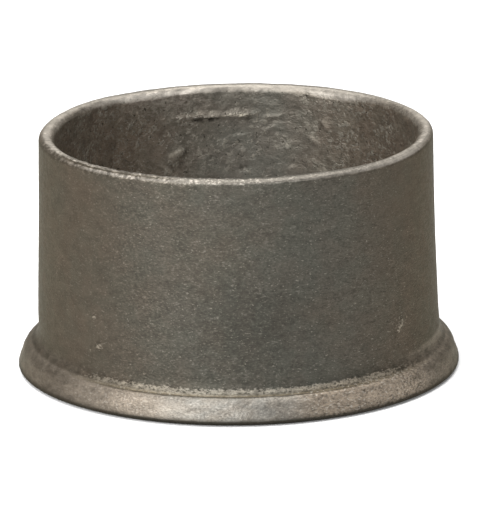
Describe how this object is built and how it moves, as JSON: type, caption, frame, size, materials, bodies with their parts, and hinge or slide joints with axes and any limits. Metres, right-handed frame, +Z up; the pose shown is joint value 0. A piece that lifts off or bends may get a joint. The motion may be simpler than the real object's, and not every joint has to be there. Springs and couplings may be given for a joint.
{
  "type": "toilet flange ferrule",
  "caption": "Short open cast-iron sleeve with a rounded rim and a beaded foot, for joining a toilet flange to a soil pipe.",
  "frame": {"origin": "centre of the flat seat under the foot, on the sleeve's axis", "axes": "+Z up the sleeve's axis, from the seat to the rim; the casting is round, so X and Y are free"},
  "size_m": [0.124, 0.124, 0.0678],
  "materials": {
    "cast_iron": "as cast in sand, uncoated, worn brighter at the rim and the foot"
  },
  "bodies": {
    "root": {"ferrule_casting": "cast_iron"}
  },
  "joints": []
}
